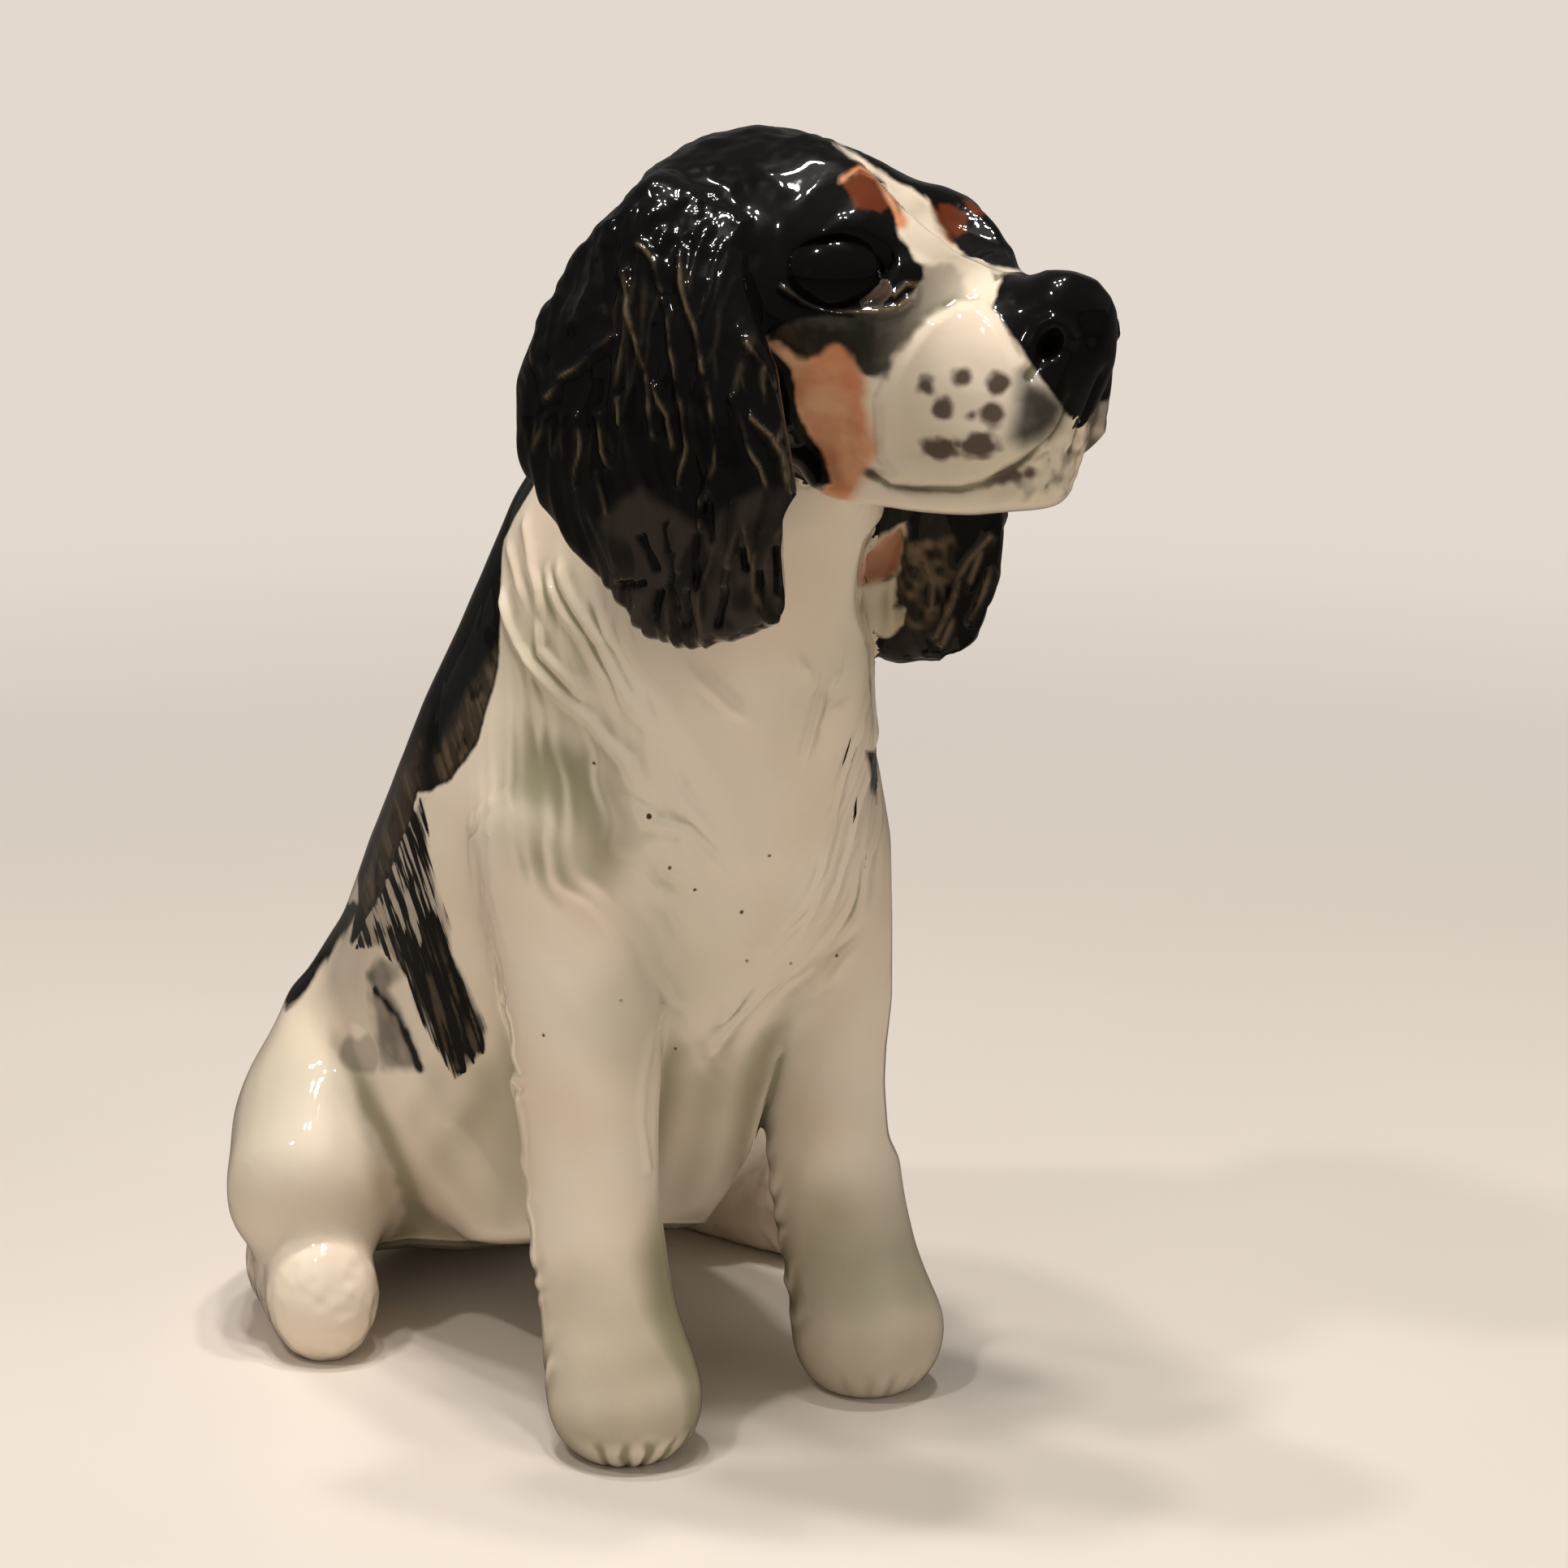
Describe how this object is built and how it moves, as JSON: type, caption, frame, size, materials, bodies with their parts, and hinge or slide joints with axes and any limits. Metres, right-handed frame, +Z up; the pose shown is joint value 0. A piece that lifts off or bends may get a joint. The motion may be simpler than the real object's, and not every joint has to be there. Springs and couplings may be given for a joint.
{
  "type": "seated dog figurine",
  "caption": "Hand-modelled seated spaniel in glossy glazed earthenware, head turned aside, long combed ears hanging; stands on its paws, feet and seat.",
  "frame": {"origin": "middle of the figure's box, on the surface that it stands on", "axes": "+Z up, -Y the way the chest faces, +X the dog's left"},
  "size_m": [0.054, 0.0878, 0.1005],
  "materials": {
    "cream_glaze": "clear gloss glaze over cream slip, pooled greenish grey in hollows",
    "black_glaze": "wet-looking gloss over brushed black underglaze",
    "eye_glaze": "gloss black bead"
  },
  "bodies": {
    "root": {"trunk": "cream_glaze", "skull": "black_glaze", "right_eye": "eye_glaze", "right_eyelid": "black_glaze", "left_eye": "eye_glaze", "left_eyelid": "black_glaze", "muzzle": "cream_glaze", "lower_jaw": "cream_glaze", "nose": "black_glaze", "right_ear": "black_glaze", "left_ear": "black_glaze", "right_foreleg": "cream_glaze", "left_foreleg": "cream_glaze", "right_thigh": "cream_glaze", "right_hind_foot": "cream_glaze", "left_thigh": "cream_glaze", "left_hind_foot": "cream_glaze", "tail": "cream_glaze"}
  },
  "joints": []
}
